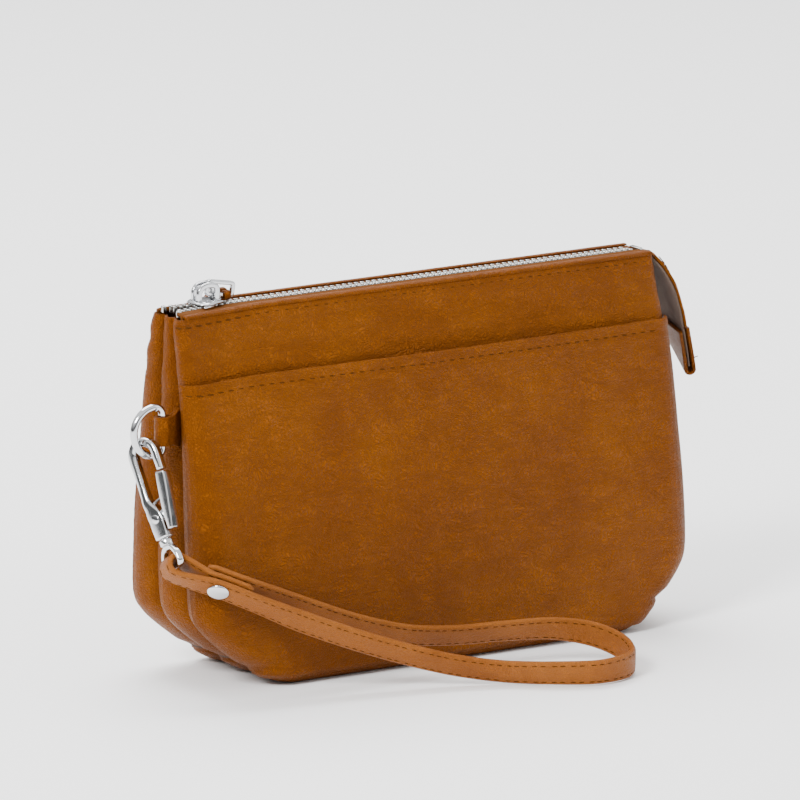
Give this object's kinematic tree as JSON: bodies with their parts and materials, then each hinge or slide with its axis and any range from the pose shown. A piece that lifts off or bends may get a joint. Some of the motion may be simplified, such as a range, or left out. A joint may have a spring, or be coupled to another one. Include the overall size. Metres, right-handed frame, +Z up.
{
  "type": "wristlet wallet",
  "caption": "Soft leather wallet of pouches gathered under one metal zip, with a front slip pocket and a wrist strap that hangs from a D-ring by a swivel clasp.",
  "frame": {"origin": "on the floor, under the middle pouch's flat underside, halfway along the wallet", "axes": "+X along the zip towards its closed end and tail, +Y from the slip-pocket front to the back, +Z up"},
  "size_m": [0.2374, 0.1109, 0.1362],
  "materials": {
    "bag_leather": "semi-matt grained",
    "strap_leather": "semi-matt smooth",
    "lining": "matt woven",
    "zip_tape": "matt woven",
    "zip_metal": "bright plated",
    "fitting_metal": "polished plated",
    "spring_steel": "satin"
  },
  "bodies": {
    "bag": {"front_pouch_front_panel": "bag_leather", "front_pouch_back_panel": "bag_leather", "front_pouch_lining": "lining", "middle_pouch_front_panel": "bag_leather", "middle_pouch_back_panel": "bag_leather", "middle_pouch_lining": "lining", "rear_pouch_front_panel": "bag_leather", "rear_pouch_back_panel": "bag_leather", "rear_pouch_lining": "lining", "slip_pocket_panel": "bag_leather", "zip_tape_front": "zip_tape", "zip_tape_rear": "zip_tape", "zip_teeth_front": "zip_metal", "zip_teeth_rear": "zip_metal", "zip_top_stop_front": "zip_metal", "zip_top_stop_rear": "zip_metal", "zip_bottom_stop": "zip_metal", "ring_tab": "bag_leather"},
    "slider": {"zip_slider": "zip_metal"},
    "pull_link": {"zip_pull_link": "zip_metal"},
    "pull_tab": {"zip_pull_tab": "bag_leather"},
    "tail": {"zip_tail_cover": "bag_leather", "zip_tail_tape": "lining", "zip_end_tab": "bag_leather"},
    "ring": {"d_ring": "fitting_metal"},
    "clasp": {"clasp_hook": "fitting_metal", "clasp_pivot_pin": "spring_steel", "clasp_gate_spring": "spring_steel"},
    "gate": {"clasp_gate": "fitting_metal"},
    "swivel": {"swivel_eye": "fitting_metal"},
    "strap": {"wrist_strap": "strap_leather", "rivet_cap": "fitting_metal", "rivet_washer": "fitting_metal"}
  },
  "joints": [
    {"name": "slider_travel", "type": "slide", "parent": "bag", "child": "slider", "axis": [1, 0, 0], "range_m": [-0.006, 0.165], "deforming": ["zip_teeth_front", "zip_teeth_rear", "zip_tape_front", "zip_tape_rear"]},
    {"name": "pull_link_swing", "type": "hinge", "parent": "slider", "child": "pull_link", "pos_m": [-0.0796, 0, 0.1332], "axis": [0, -1, 0], "range_deg": [0, 90]},
    {"name": "pull_tab_swing", "type": "hinge", "parent": "pull_link", "child": "pull_tab", "pos_m": [-0.07356, 0, 0.13], "axis": [0.9848, 0, -0.1736], "range_deg": [0, 35]},
    {"name": "tail_lift", "type": "hinge", "parent": "bag", "child": "tail", "pos_m": [0.0948, 0, 0.1248], "axis": [0, -1, 0], "range_deg": [-5, 50]},
    {"name": "ring_swing", "type": "hinge", "parent": "bag", "child": "ring", "pos_m": [-0.1042, -0.00833, 0.0889], "axis": [0, 0, 1], "range_deg": [-60, 2]},
    {"name": "clasp_swing", "type": "hinge", "parent": "ring", "child": "clasp", "pos_m": [-0.1109, -0.00833, 0.08152], "axis": [0.889, 0, -0.4578], "range_deg": [-15, 0]},
    {"name": "gate_pivot", "type": "hinge", "parent": "clasp", "child": "gate", "pos_m": [-0.11089, -0.01657, 0.06113], "axis": [-0.9229, -0.357, 0.144], "range_deg": [0, 18], "stiffness_Nm_per_rad": 0.02, "springref_deg": -17.19, "deforming": ["clasp_gate_spring"]},
    {"name": "swivel_spin", "type": "hinge", "parent": "clasp", "child": "swivel", "pos_m": [-0.11051, -0.0202, 0.05458], "axis": [-0.051, 0.4842, 0.8734], "range_deg": [-60, 0]},
    {"name": "strap_swing", "type": "hinge", "parent": "swivel", "child": "strap", "pos_m": [-0.11003, -0.02475, 0.04637], "axis": [-0.1311, -0.8703, 0.4748], "range_deg": [-20, 6]}
  ]
}
